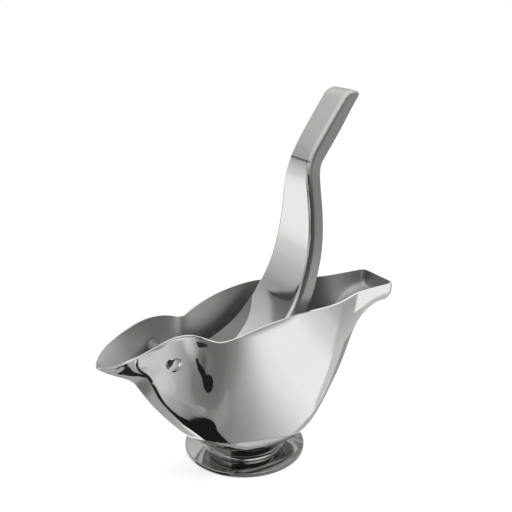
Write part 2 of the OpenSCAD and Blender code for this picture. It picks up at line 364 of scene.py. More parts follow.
def edit(piece: Object) -> None:
    """Opens a piece in edit mode with all of it selected.

    Args:
        piece: the object.
    """
    only(piece)
    bpy.ops.object.mode_set(mode="EDIT")
    bpy.ops.mesh.select_all(action="SELECT")


def leave() -> None:
    """Goes back to object mode."""
    bpy.ops.object.mode_set(mode="OBJECT")


def finish_with(piece: Object, kind: str, **settings: object) -> None:
    """Adds a modifier to a piece and applies it.

    Args:
        piece: the object.
        kind: the modifier's type.
        settings: the modifier's attributes.
    """
    only(piece)
    modifier = piece.modifiers.new(kind.lower(), kind)
    for key, value in settings.items():
        setattr(modifier, key, value)
    bpy.ops.object.modifier_apply(modifier=modifier.name)


def smoothed(piece: Object, degrees: float = 40.0) -> None:
    """Shades a piece smooth across its soft edges, with the large faces leading.

    Args:
        piece: the object.
        degrees: edges sharper than this stay sharp.
    """
    only(piece)
    bpy.ops.object.shade_smooth_by_angle(angle=radians(degrees))
    finish_with(piece, "WEIGHTED_NORMAL", keep_sharp=True, weight=80)


def walled(piece: Object, sheet: float, edge: float, inner_slot: int) -> None:
    """Gives a skin its thickness inwards, breaks its edges and shades it smooth.

    Args:
        piece: the skin, with its materials.
        sheet: the thickness in millimetres.
        edge: width of the broken edges in millimetres.
        inner_slot: how many slots the inner wall's material is past the outer wall's, as the edge's is 2.
    """
    finish_with(piece, "SOLIDIFY", thickness=sheet * MM, offset=-1.0, use_even_offset=True,
                use_quality_normals=True, material_offset=inner_slot, material_offset_rim=2)
    finish_with(piece, "BEVEL", width=edge * MM, segments=3, limit_method="ANGLE",
                angle_limit=radians(EDGE_ANGLE), use_clamp_overlap=True)
    smoothed(piece)


def dressed(piece: Object, *finishes: Union[Finish, Material]) -> None:
    """Gives a piece its material slots.

    Args:
        piece: the object.
        finishes: the finishes or materials in slot order.
    """
    piece.data.materials.clear()
    for finish in finishes:
        piece.data.materials.append(finish.made() if isinstance(finish, Finish) else finish)


def both_sides(half: list[Vector]) -> list[Vector]:
    """A row of points from its mirror image's end to its own, with the first point once."""
    return [Vector((p.x, -p.y, p.z)) for p in reversed(half[1:])] + half


def pressed(name: str, grid: Grid) -> Object:
    """Shapes a grid primitive into an open skin.

    Args:
        name: the piece's name.
        grid: rows of points in millimetres.

    Returns:
        The skin, in metres, with its doubles merged.
    """
    bpy.ops.object.select_all(action="DESELECT")
    bpy.ops.mesh.primitive_grid_add(x_subdivisions=len(grid) - 1, y_subdivisions=len(grid[0]) - 1, size=2)
    piece = bpy.context.object
    piece.name = piece.data.name = name
    for vertex in piece.data.vertices:
        row = round((vertex.co.x + 1) / 2 * (len(grid) - 1))
        step = round((vertex.co.y + 1) / 2 * (len(grid[0]) - 1))
        vertex.co = grid[row][step] * MM
    edit(piece)
    bpy.ops.mesh.remove_doubles(threshold=MERGE * MM)
    leave()
    return piece


def outwards(piece: Object, inside: Vector) -> None:
    """Turns an open skin's faces away from a place inside it.

    Args:
        piece: the skin.
        inside: a place in metres that the faces turn their backs to.
    """
    edit(piece)
    bpy.ops.mesh.normals_make_consistent(inside=False)
    leave()
    facing = sum((face.center - inside).dot(face.normal) * face.area for face in piece.data.polygons)
    if facing < 0:
        edit(piece)
        bpy.ops.mesh.flip_normals()
        leave()


def circle(name: str, corners: int, radius: float, filled: bool = True) -> Object:
    """Adds a circle primitive round the origin, with nothing else selected.

    Args:
        name: the object's name.
        corners: corners of the circle.
        radius: its radius in metres.
        filled: whether it has a face.

    Returns:
        The circle.
    """
    bpy.ops.object.select_all(action="DESELECT")
    bpy.ops.mesh.primitive_circle_add(vertices=corners, radius=radius, location=(0, 0, 0),
                                      fill_type="NGON" if filled else "NOTHING")
    made = bpy.context.object
    made.name = made.data.name = name
    return made


def turned(name: str, profile: Pairs, sides: int) -> Object:
    """Draws a closed ring profile up from a circle primitive, as on a lathe.

    Args:
        name: the piece's name.
        profile: (radius, height) in millimetres, from the first ring to the last.
        sides: corners of the circle.

    Returns:
        The turned piece about the Z axis, in metres, its faces outwards.
    """
    radius, height = profile[0]
    piece = circle(name, sides, radius * MM, filled=False)
    edit(piece)
    bpy.ops.transform.translate(value=(0, 0, height * MM))
    for after in profile[1:]:
        bpy.ops.mesh.extrude_edges_move(TRANSFORM_OT_translate={"value": (0, 0, (after[1] - height) * MM)})
        ratio = after[0] / radius
        bpy.ops.transform.resize(value=(ratio, ratio, 1), center_override=(0, 0, after[1] * MM))
        radius, height = after
    bpy.ops.mesh.select_all(action="SELECT")
    bpy.ops.mesh.remove_doubles(threshold=2 * MERGE * MM)
    bpy.ops.mesh.normals_make_consistent(inside=False)
    leave()
    return piece


def moved(piece: Object, place: Matrix) -> None:
    """Moves a mesh by a transform in metres, and leaves its object at the origin."""
    piece.data.transform(place)
    piece.data.update()


# Smooth rows


def quarter(steps: int) -> list[float]:
    """Angles from 0 to a quarter turn in equal steps, in radians."""
    return [radians(90 * k / steps) for k in range(steps + 1)]


def on_curve(p0: Row, p1: Row, p2: Row, p3: Row, share: float) -> list[float]:
    """Point at a share of the way from p1 to p2 on the smooth curve through four rows."""
    return [0.5 * (2 * b + (c - a) * share + (2 * a - 5 * b + 4 * c - d) * share ** 2
                   + (3 * b - a - 3 * c + d) * share ** 3) for a, b, c, d in zip(p0, p1, p2, p3)]


def fine_rows(rows: Table, steps: int) -> Table:
    """All rows of a table, with steps - 1 more between each two.

    Args:
        rows: the table.
        steps: parts that each stretch is cut into.

    Returns:
        The fine table.
    """
    last = len(rows) - 1
    fine = [on_curve(rows[max(i - 1, 0)], rows[i], rows[i + 1], rows[min(i + 2, last)], s / steps)
            for i in range(last) for s in range(steps)]
    return fine + [list(rows[last])]


def faired(rows: Table, place: Callable[[Row], float], reach: float) -> Table:
    """Evens out a fine table as a polisher evens out a skin, less and less towards its two ends.

    Args:
        rows: the fine table.
        place: gives a row's place along the piece.
        reach: distance over which rows are averaged.

    Returns:
        The evened table.
    """
    least_step, least_width, end_ease = 1e-6, 1e-3, 2.5
    at = [0.0]
    for i in range(1, len(rows)):
        at.append(at[-1] + abs(place(rows[i]) - place(rows[i - 1])) + least_step)
    even = []
    for here in at:
        width = max(min(reach, (here - at[0]) / end_ease, (at[-1] - here) / end_ease), least_width)
        weights = [exp(-((there - here) / width) ** 2 / 2) for there in at]
        total = sum(weights)
        even.append([sum(w * row[k] for w, row in zip(weights, rows)) / total for k in range(len(rows[0]))])
    return even


# Bowl


@dataclass
class PressedBowl:
    """The bird's body: one pressed sheet from the beak to the tail.

    Attributes:
        nose: roundness of the keel, as a share of the half width.
        flank, flank_blend: height shares over which the flank's width passes into the rim's.
        seat, seat_blend: height share of the flat bottom over the foot, and of its rounding.
        hollow: height share of a place inside the bowl.
    """

    length: float = 118.0
    width: float = 37.0
    rim_height: float = 57.7
    sheet: float = 0.8
    broken_edge: float = 0.2
    tail_corner: float = 3.3
    nose: float = 0.16
    flank: float = 0.3
    flank_blend: float = 0.65
    seat: float = 0.073
    seat_blend: float = 0.014
    row_steps: int = 8
    rib_steps: int = 44
    corner_steps: int = 10
    end_steps: int = 5
    evening: float = 2.2
    hollow: float = 0.9
    tail_squareness: float = 3.6
    # rim place, rim height, keel place, keel height
    tail_end: tuple = (0.501, 0.978, 0.474, 0.851)
    # rim place, rim height, rim half width, flank half width, keel place, keel height, squareness, vee
    stations: tuple = (
        (-0.499, 0.811, 0.086, 0.086, -0.501, 0.803, 2.0, 1.0),
        (-0.485, 0.822, 0.258, 0.258, -0.487, 0.78, 2.0, 1.0),
        (-0.452, 0.856, 0.434, 0.434, -0.457, 0.738, 2.0, 1.0),
        (-0.406, 0.898, 0.514, 0.514, -0.416, 0.692, 2.0, 1.0),
        (-0.364, 0.933, 0.557, 0.56, -0.392, 0.659, 2.0, 0.8),
        (-0.33, 0.957, 0.565, 0.6, -0.374, 0.582, 2.1, 0.6),
        (-0.3, 0.97, 0.557, 0.63, -0.345, 0.482, 2.1, 0.5),
        (-0.266, 0.968, 0.551, 0.675, -0.307, 0.378, 2.1, 0.42),
        (-0.233, 0.953, 0.553, 0.735, -0.267, 0.273, 2.2, 0.34),
        (-0.203, 0.918, 0.602, 0.8, -0.224, 0.176, 2.6, 0.2),
        (-0.175, 0.897, 0.763, 0.854, -0.176, 0.1, 3.4, 0.08),
        (-0.123, 0.926, 0.885, 0.892, -0.119, 0.071, 4.5, 0.0),
        (-0.038, 0.973, 0.966, 0.966, -0.056, 0.057, 6.0, 0.0),
        (0.082, 1.0, 1.0, 1.0, 0.026, 0.057, 5.7, 0.0),
        (0.196, 0.989, 0.927, 0.927, 0.121, 0.09, 3.25, 0.0),
        (0.267, 0.981, 0.784, 0.784, 0.211, 0.168, 2.2, 0.0),
        (0.313, 0.977, 0.641, 0.641, 0.28, 0.297, 2.0, 0.0),
        (0.343, 0.98, 0.587, 0.587, 0.32, 0.454, 1.8, 0.0),
        (0.372, 0.979, 0.559, 0.559, 0.33, 0.613, 1.8, 0.0),
        (0.399, 0.979, 0.548, 0.548, 0.346, 0.74, 2.2, 0.0),
        (0.432, 0.979, 0.541, 0.541, 0.388, 0.81, 2.8, 0.0),
        (0.466, 0.978, 0.526, 0.526, 0.44, 0.837, 3.4, 0.0),
    )

    def rows(self) -> Table:
        """The body's stations in millimetres, evened, then the tail's corner and its flat end.

        Returns:
            The fine rows.
        """
        half = self.width / 2
        size = (self.length, self.rim_height, half, half, self.length, self.rim_height, 1.0, 1.0)
        real = [[value * unit for value, unit in zip(row, size)] for row in self.stations]
        body = faired(fine_rows(real, self.row_steps), lambda row: (row[0] + row[4]) / 2, self.evening)
        end, high, end_keel, high_keel = [value * unit for value, unit in zip(self.tail_end, size[:2] * 2)]
        tail_half, keel, keel_height = real[-1][2], real[-1][4], real[-1][5]
        corner = self.tail_corner
        outline = [(tail_half - corner * (1 - cos(a)), end - corner * (1 - sin(a)))
                   for a in quarter(self.corner_steps)[1:]]
        outline += [((tail_half - corner) * (1 - k / self.end_steps), end)
                    for k in range(1, self.end_steps + 1)]
        tail = []
        for k, (wide, x) in enumerate(outline):
            along = (k + 1) / len(outline)
            tail.append([x, high, wide, wide, keel + (end_keel - keel) * along,
                         keel_height + (high_keel - keel_height) * along, self.tail_squareness, 0.0])
        return body + tail

    def point(self, row: Row, degrees: float) -> Vector:
        """Point of the outer skin on one rib.

        Args:
            row: the station.
            degrees: from the keel, 0, to the rim, 90.

        Returns:
            The point on the far side, in millimetres.
        """
        angle, square, vee_share = radians(degrees), row[6], row[7]
        if degrees >= 90:
            t = around = 1.0
        else:
            radius = (cos(angle) ** square + sin(angle) ** square) ** (-1 / square)
            t, around = radius * sin(angle), 1 - radius * cos(angle)
        vee = ((self.nose ** 2 + t * t) ** 0.5 - self.nose) / ((self.nose ** 2 + 1) ** 0.5 - self.nose)
        height = vee_share * vee + (1 - vee_share) * around
        b = max(0.0, min(1.0, (height - self.flank) / self.flank_blend))
        to_rim = b * b * (3 - 2 * b)
        half = row[2] * to_rim + row[3] * (1 - to_rim)
        seat, blend = self.seat * self.rim_height, self.seat_blend * self.rim_height
        above = row[5] + (row[1] - row[5]) * height - seat
        seated = seat + (above + hypot(above, blend)) / 2
        return Vector((row[4] + (row[0] - row[4]) * t, half * t, seated))

    def build(self) -> Object:
        """Presses the sheet, gives it its thickness and dresses it.

        Returns:
            The bowl.
        """
        turns = [90 * j / self.rib_steps for j in range(self.rib_steps + 1)]
        grid = [both_sides([self.point(row, turn) for turn in turns]) for row in self.rows()]
        piece = pressed("bowl_skin", grid)
        outwards(piece, Vector((0, 0, self.rim_height * self.hollow)) * MM)
        dressed(piece, Finish.OUTSIDE, Finish.INSIDE, Finish.EDGE)
        walled(piece, self.sheet, self.broken_edge, inner_slot=1)
        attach(piece, Body.BASE.value)
        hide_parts("bowl")
        return piece


# Foot


@dataclass
class RoundFoot:
    """The foot: one pressing with a turned-down edge, a flat, a hollow fillet and a neck."""

    diameter: float = 45.0
    edge: float = 1.5
    soft: float = 0.12
    sheet: float = 0.9
    neck: float = 27.4
    fillet: float = 1.9
    place: float = -3.068
    neck_top: float = 4.86
    edge_steps: int = 6
    fillet_steps: int = 12
    sides: int = 160

    def profile(self) -> Pairs:
        """The foot's section, as (radius, height) from the inside of the edge round to its start.

        Returns:
            The closed section in millimetres.
        """
        outer, neck, bend = self.diameter / 2, self.neck / 2, self.sheet / 2
        ring = [(outer - self.sheet, 0.0), (outer - self.soft, 0.0), (outer, self.soft)]
        ring += [(outer - bend * (1 - cos(a)), self.edge - bend * (1 - sin(a)))
                 for a in quarter(self.edge_steps)]
        middle = (neck + self.fillet, self.edge + self.fillet)
        arc = [radians(270 - 90 * k / self.fillet_steps) for k in range(self.fillet_steps + 1)]
        ring += [(middle[0] + self.fillet * cos(a), middle[1] + self.fillet * sin(a)) for a in arc]
        ring += [(neck, self.neck_top), (neck - self.sheet, self.neck_top)]
        inner = self.fillet + self.sheet
        ring += [(middle[0] + inner * cos(a), middle[1] + inner * sin(a)) for a in reversed(arc)]
        return ring + [(outer - self.sheet, self.edge - self.sheet), (outer - self.sheet, 0.0)]

    def build(self) -> Object:
        """Turns the foot and dresses it.

        Returns:
            The foot.
        """
        piece = turned("foot_disc", self.profile(), self.sides)
        moved(piece, Matrix.Translation(Vector((self.place, 0, 0)) * MM))
        dressed(piece, Finish.FOOT)
        smoothed(piece, TURNED_ANGLE)
        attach(piece, Body.BASE.value)
        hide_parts("foot")
        return piece


# Hinge


@dataclass
class Hinge:
    """The rivet through the head and the sleeve that turns on it.

    Attributes:
        lean, rim: the wall's slope across the head, and the share of it that lifts the dome.
        head_depth, bed: how far in the head's blank starts, and the share of the wall that it keeps.
    """

    x: float = -35.3646
    z: float = 45.9869
    shank: float = 3.2
    head: float = 5.6
    head_depth: float = 1.5
    dome: float = 1.1
    dome_steps: int = 14
    half: float = 9.4932
    lean: float = 0.1955
    wall_normal: tuple = (-0.154, 0.9814, -0.1144)
    sheet: float = 0.8
    bed: float = 0.4
    rim: float = 0.4
    sleeve: float = 4.7
    sleeve_soft: float = 0.15
    clearance: float = 0.05
    sleeve_half: float = 7.868
    sides: int = 96
    shank_sides: int = 64

    def _laid(self, degrees: float) -> Matrix:
        """The turn and move that lays a lathe's piece on the hinge."""
        place = Matrix.Translation(Vector((self.x, 0, self.z)) * MM)
        return place @ Matrix.Rotation(radians(degrees), 4, "X")

    def rivet(self) -> Object:
        """Turns one half of the rivet, cuts it to the wall, mirrors it and dresses it.

        Returns:
            The rivet.
        """
        radius = self.head / 2
        ball = (radius ** 2 + self.dome ** 2) / (2 * self.dome)
        top = self.half + self.lean * radius * self.rim + self.dome
        rim_angle = asin(radius / ball)
        foot = self.half - self.head_depth
        angles = [rim_angle * (1 - k / self.dome_steps) for k in range(self.dome_steps + 1)]
        head = [(TIP, foot), (radius, foot)]
        head += [(ball * sin(a) if a else TIP, top - ball + ball * cos(a)) for a in angles]
        piece = turned("rivet_eye", head, self.sides)
        moved(piece, self._laid(-90))
        normal = Vector(self.wall_normal).normalized()
        bed = Vector((self.x, self.half, self.z)) - normal * self.sheet * self.bed
        edit(piece)
        bpy.ops.mesh.bisect(plane_co=bed * MM, plane_no=normal, clear_inner=True, use_fill=True)
        leave()
        thick = self.shank / 2
        rod = [(TIP, 0.0), (thick, 0.0), (thick, self.half), (TIP, self.half)]
        shank = turned("rivet_shank", rod, self.shank_sides)
        moved(shank, self._laid(-90))
        only(piece)
        shank.select_set(True)
        bpy.ops.object.join()
        finish_with(piece, "MIRROR", use_axis=(False, True, False), use_mirror_merge=True,
                    merge_threshold=MERGE * MM)
        dressed(piece, Finish.DOME)
        smoothed(piece)
        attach(piece, Body.BASE.value)
        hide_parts("hinge_rivet")
        return piece

    def tube(self) -> Object:
        """Turns the sleeve and dresses it.

        Returns:
            The sleeve.
        """
        out, bore = self.sleeve / 2, self.shank / 2 + self.clearance
        half, soft = self.sleeve_half, self.sleeve_soft
        ring = [(bore + soft, half), (out - soft, half), (out, half - soft), (out, soft - half),
                (out - soft, -half), (bore + soft, -half), (bore, soft - half), (bore, half - soft)]
        piece = turned("sleeve_tube", ring + ring[:1], self.sides)
        moved(piece, self._laid(90))
        dressed(piece, Finish.SLEEVE)
        smoothed(piece, TURNED_ANGLE)
        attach(piece, Body.LEVER.value)
        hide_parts("hinge_sleeve")
        return piece


# Lever


@dataclass
class PressLever:
    """The lever: a channel of sheet with a broad presser and a bent grip.

    Attributes:
        fold, fold_share: radius of the folded edge, and the most of the skirt that it takes.
        end_radius, grip_turn: radius of the turned-down end, and its start in radii before the tip.
        grip_from, hollow: share of the rise where the grip begins, and of the reach inside the channel.
        weld: how far the sleeve sinks into the face.
    """

    hinge: Hinge
    reach: float = 70.6
    rise: float = 85.2
    sheet: float = 1.2
    broken_edge: float = 0.22
    presser_half: float = 13.4
    skirt: float = 6.0
    fold: float = 1.8
    fold_share: float = 0.8
    end_radius: float = 5.0
    grip_half: float = 0.49
    grip_turn: float = 0.55
    grip_from: float = 0.755
    hollow: float = 0.98
    weld: float = 0.1
    row_steps: int = 8
    turn_steps: int = 12
    face_steps: int = 8
    fold_steps: int = 10
    skirt_steps: int = 4
    evening: float = 1.6
    # place, height, half width, skirt depth
    stations: tuple = (
        (-0.035, 0.0, 0.33, 0.3),
        (0.011, 0.0, 0.36, 0.36),
        (0.085, -0.008, 0.4, 0.44),
        (0.17, -0.021, 0.46, 0.46),
        (0.245, -0.028, 0.6, 0.56),
        (0.285, -0.028, 0.73, 0.68),
        (0.325, -0.022, 0.85, 0.82),
        (0.412, -0.002, 0.955, 0.98),
        (0.506, 0.044, 0.98, 0.98),
        (0.594, 0.116, 1.0, 0.97),
        (0.666, 0.202, 0.955, 0.94),
        (0.72, 0.304, 0.89, 0.9),
        (0.751, 0.412, 0.835, 0.87),
        (0.763, 0.525, 0.745, 0.84),
        (0.761, 0.638, 0.64, 0.83),
        (0.768, 0.716, 0.53, 0.84),
        (0.79, 0.77, 0.478, 0.87),
        (0.834, 0.83, 0.478, 0.92),
        (0.896, 0.905, 0.485, 0.92),
    )

    def _level(self) -> float:
        """Height of the lever's face over the sleeve."""
        return self.hinge.z - self.hinge.sleeve / 2 + self.weld

    def rows(self) -> tuple[Table, list[Vector]]:
        """The lever's stations in millimetres and the direction into the hollow at each.

        Returns:
            The fine rows (place, height, half width, depth) and the inward directions.
        """
        line = [[self.hinge.x + s[0] * self.reach, self._level() + s[1] * self.rise,
                 s[2] * self.presser_half, s[3] * self.skirt] for s in self.stations]
        tip = Vector((self.hinge.x + self.reach, self.hinge.z + self.rise))
        along = (tip - Vector(line[-1][:2])).normalized()
        down = Vector((along.y, -along.x))
        start = tip - along * self.end_radius * self.grip_turn
        centre = start + down * self.end_radius
        half = self.grip_half * self.presser_half
        run = self._evened(fine_rows(line + [[start.x, start.y, half, self.end_radius]], self.row_steps))
        turn = []
        for a in quarter(self.turn_steps)[1:]:
            p = centre + self.end_radius * (along * sin(a) - down * cos(a))
            turn.append([p.x, p.y, half, self.end_radius])
        rows = run + turn
        inward = []
        for i, row in enumerate(rows):
            if i >= len(run) - 1:
                inward.append((centre - Vector(row[:2])).normalized())
            else:
                step = Vector(rows[i + 1][:2]) - Vector(rows[max(i - 1, 0)][:2])
                inward.append(Vector((step.y, -step.x)).normalized())
        return rows, inward

    def _evened(self, rows: Table) -> Table:
        """Evens the run of the lever by its length.

        Args:
            rows: the fine rows.

        Returns:
            The evened rows.
        """
        travel, carried = 0.0, []
        for i, row in enumerate(rows):
            if i:
                travel += dist(row[:2], rows[i - 1][:2])
            carried.append(row + [travel])
        return [row[:4] for row in faired(carried, lambda row: row[4], self.evening)]

    def section(self, half: float, depth: float) -> Pairs:
        """Half of the outer section: the face, the fold and the skirt.

        Args:
            half: half the width.
            depth: how deep the skirt hangs.

        Returns:
            (sideways, inwards) in millimetres from the middle of the face.
        """
        fold = min(self.fold, self.fold_share * depth)
        points = [((half - fold) * k / self.face_steps, 0.0) for k in range(self.face_steps)]
        points += [(half - fold + fold * sin(a), fold - fold * cos(a))
                   for a in quarter(self.fold_steps)]
        return points + [(half, fold + (depth - fold) * k / self.skirt_steps)
                         for k in range(1, self.skirt_steps + 1)]

    def build(self) -> Object:
        """Folds the channel, gives it its thickness and dresses it.

        Returns:
            The lever.
        """
        rows, inward = self.rows()
        grid = []
        for row, into in zip(rows, inward):
            grid.append(both_sides([Vector((row[0] + into.x * deep, wide, row[1] + into.y * deep))
                                    for wide, deep in self.section(row[2], row[3])]))
        piece = pressed("lever_channel", grid)
        outwards(piece, Vector((self.hinge.x + self.hollow * self.reach, 0, self.hinge.z)) * MM)
        dressed(piece, Finish.FACE, Finish.GRIP, Finish.SKIRT, Finish.UNDER, Finish.EDGE)
        self._mark_regions(piece)
        walled(piece, self.sheet, self.broken_edge, inner_slot=3)
        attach(piece, Body.LEVER.value)
        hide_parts("lever")
        return piece

    def _mark_regions(self, piece: Object) -> None:
        """Gives the face, the grip and the skirts their own finish.

        Args:
            piece: the skin before it has its thickness.
        """
        face_slot, grip_slot, skirt_slot = 0, 1, 2
        skirt_turn = 0.75
        bend = (self._level() + self.grip_from * self.rise) * MM
        for face in piece.data.polygons:
            if abs(face.normal.y) > skirt_turn:
                face.material_index = skirt_slot
            else:
                face.material_index = grip_slot if face.center.z > bend else face_slot


# Studio


@dataclass(frozen=True)
class PaintedReflection:
    """A flat glowing sheet that only the steel mirrors: a painted reflection, light or dark, hidden from the
    camera, from diffuse light and from shadows.

    Attributes:
        outline: its corners, (x, y) where it lies level or (x, y, z), in millimetres as all lengths.
        tones: its brightness, or (place along the axis, brightness) stops.
        soft, height: width of its soft edge, and how high a level card lies.
        lean: how much of a place's height counts along the axis.
        from_below: whether it shows only from below, where its corners run clockwise.
    """

    name: str
    outline: tuple
    tones: Union[float, tuple]
    soft: float = 1.0
    height: float = 0.4
    axis: str = "X"
    lean: float = 0.0
    from_below: bool = False

    def lay(self) -> None:
        """Cuts the card from a circle primitive and dresses it."""
        made = circle(self.name, len(self.outline), 1)
        for vertex, corner in zip(made.data.vertices, self.outline):
            vertex.co = Vector((*corner, self.height)[:3]) * MM
        edit(made)
        bpy.ops.mesh.inset(thickness=self.soft * MM)
        leave()
        cover = made.data.attributes.new("cover", "FLOAT", "POINT")
        for vertex, share in zip(made.data.vertices, cover.data):
            share.value = float(vertex.select)
        dressed(made, self._paper())
        # hidden from all but mirror rays, so that the sheet is only a painted reflection in the steel
        made.visible_camera = made.visible_diffuse = made.visible_shadow = made.visible_transmission = False

    def _paper(self) -> Material:
        """The card's glow, which fades out over its soft edge.

        Returns:
            The material.
        """
        paper, bench = blank(self.name)
        tone = self.tones
        if isinstance(tone, tuple):
            place = bench.node("SeparateXYZ", {}, {0: bench.here()}).outputs
            across = Shade(bench, place[self.axis])
            if self.lean:
                across = across + Shade(bench, place["Z"]) * self.lean
            tone = bench.graded(across, tone, MM)
        cover = bench.value("Attribute", {"attribute_name": "cover"}, {}, "Fac")
        if self.from_below:
            cover = cover * bench.value("NewGeometry", {}, {}, "Backfacing")
        bench.emitting(tone, cover, bench.node("BsdfTransparent").outputs[0])
        return paper


def hung(bearings: Pairs, away: float, seen_from: tuple = (10, 0, 58)) -> tuple:
    """Corners of a card that hangs in the room.

    Args:
        bearings: (turn from +X, rise above the level) of each corner, in degrees.
        away: distance in millimetres.
        seen_from: the place that the bearings start from, by default one on the presser.

    Returns:
        The corners in millimetres.
    """
    x, y, z = seen_from
    angles = [(radians(turn), radians(rise)) for turn, rise in bearings]
    return tuple((x + cos(rise) * away * cos(turn), y + cos(rise) * away * sin(turn), z + away * sin(rise))
                 for turn, rise in angles)


def upright(depth: float, *corners: tuple[float, float]) -> tuple:
    """Corners of a card that stands square to the Y axis, from (place along X, height) of each."""
    return tuple((x, depth, z) for x, z in corners)


# bearings in degrees along the lower edge that both back cards share
BACK_EDGE = ((131, 8), (129.2, 9.5), (128.3, 11.5), (127.4, 13.2), (126.2, 14.9), (125.2, 16.4))

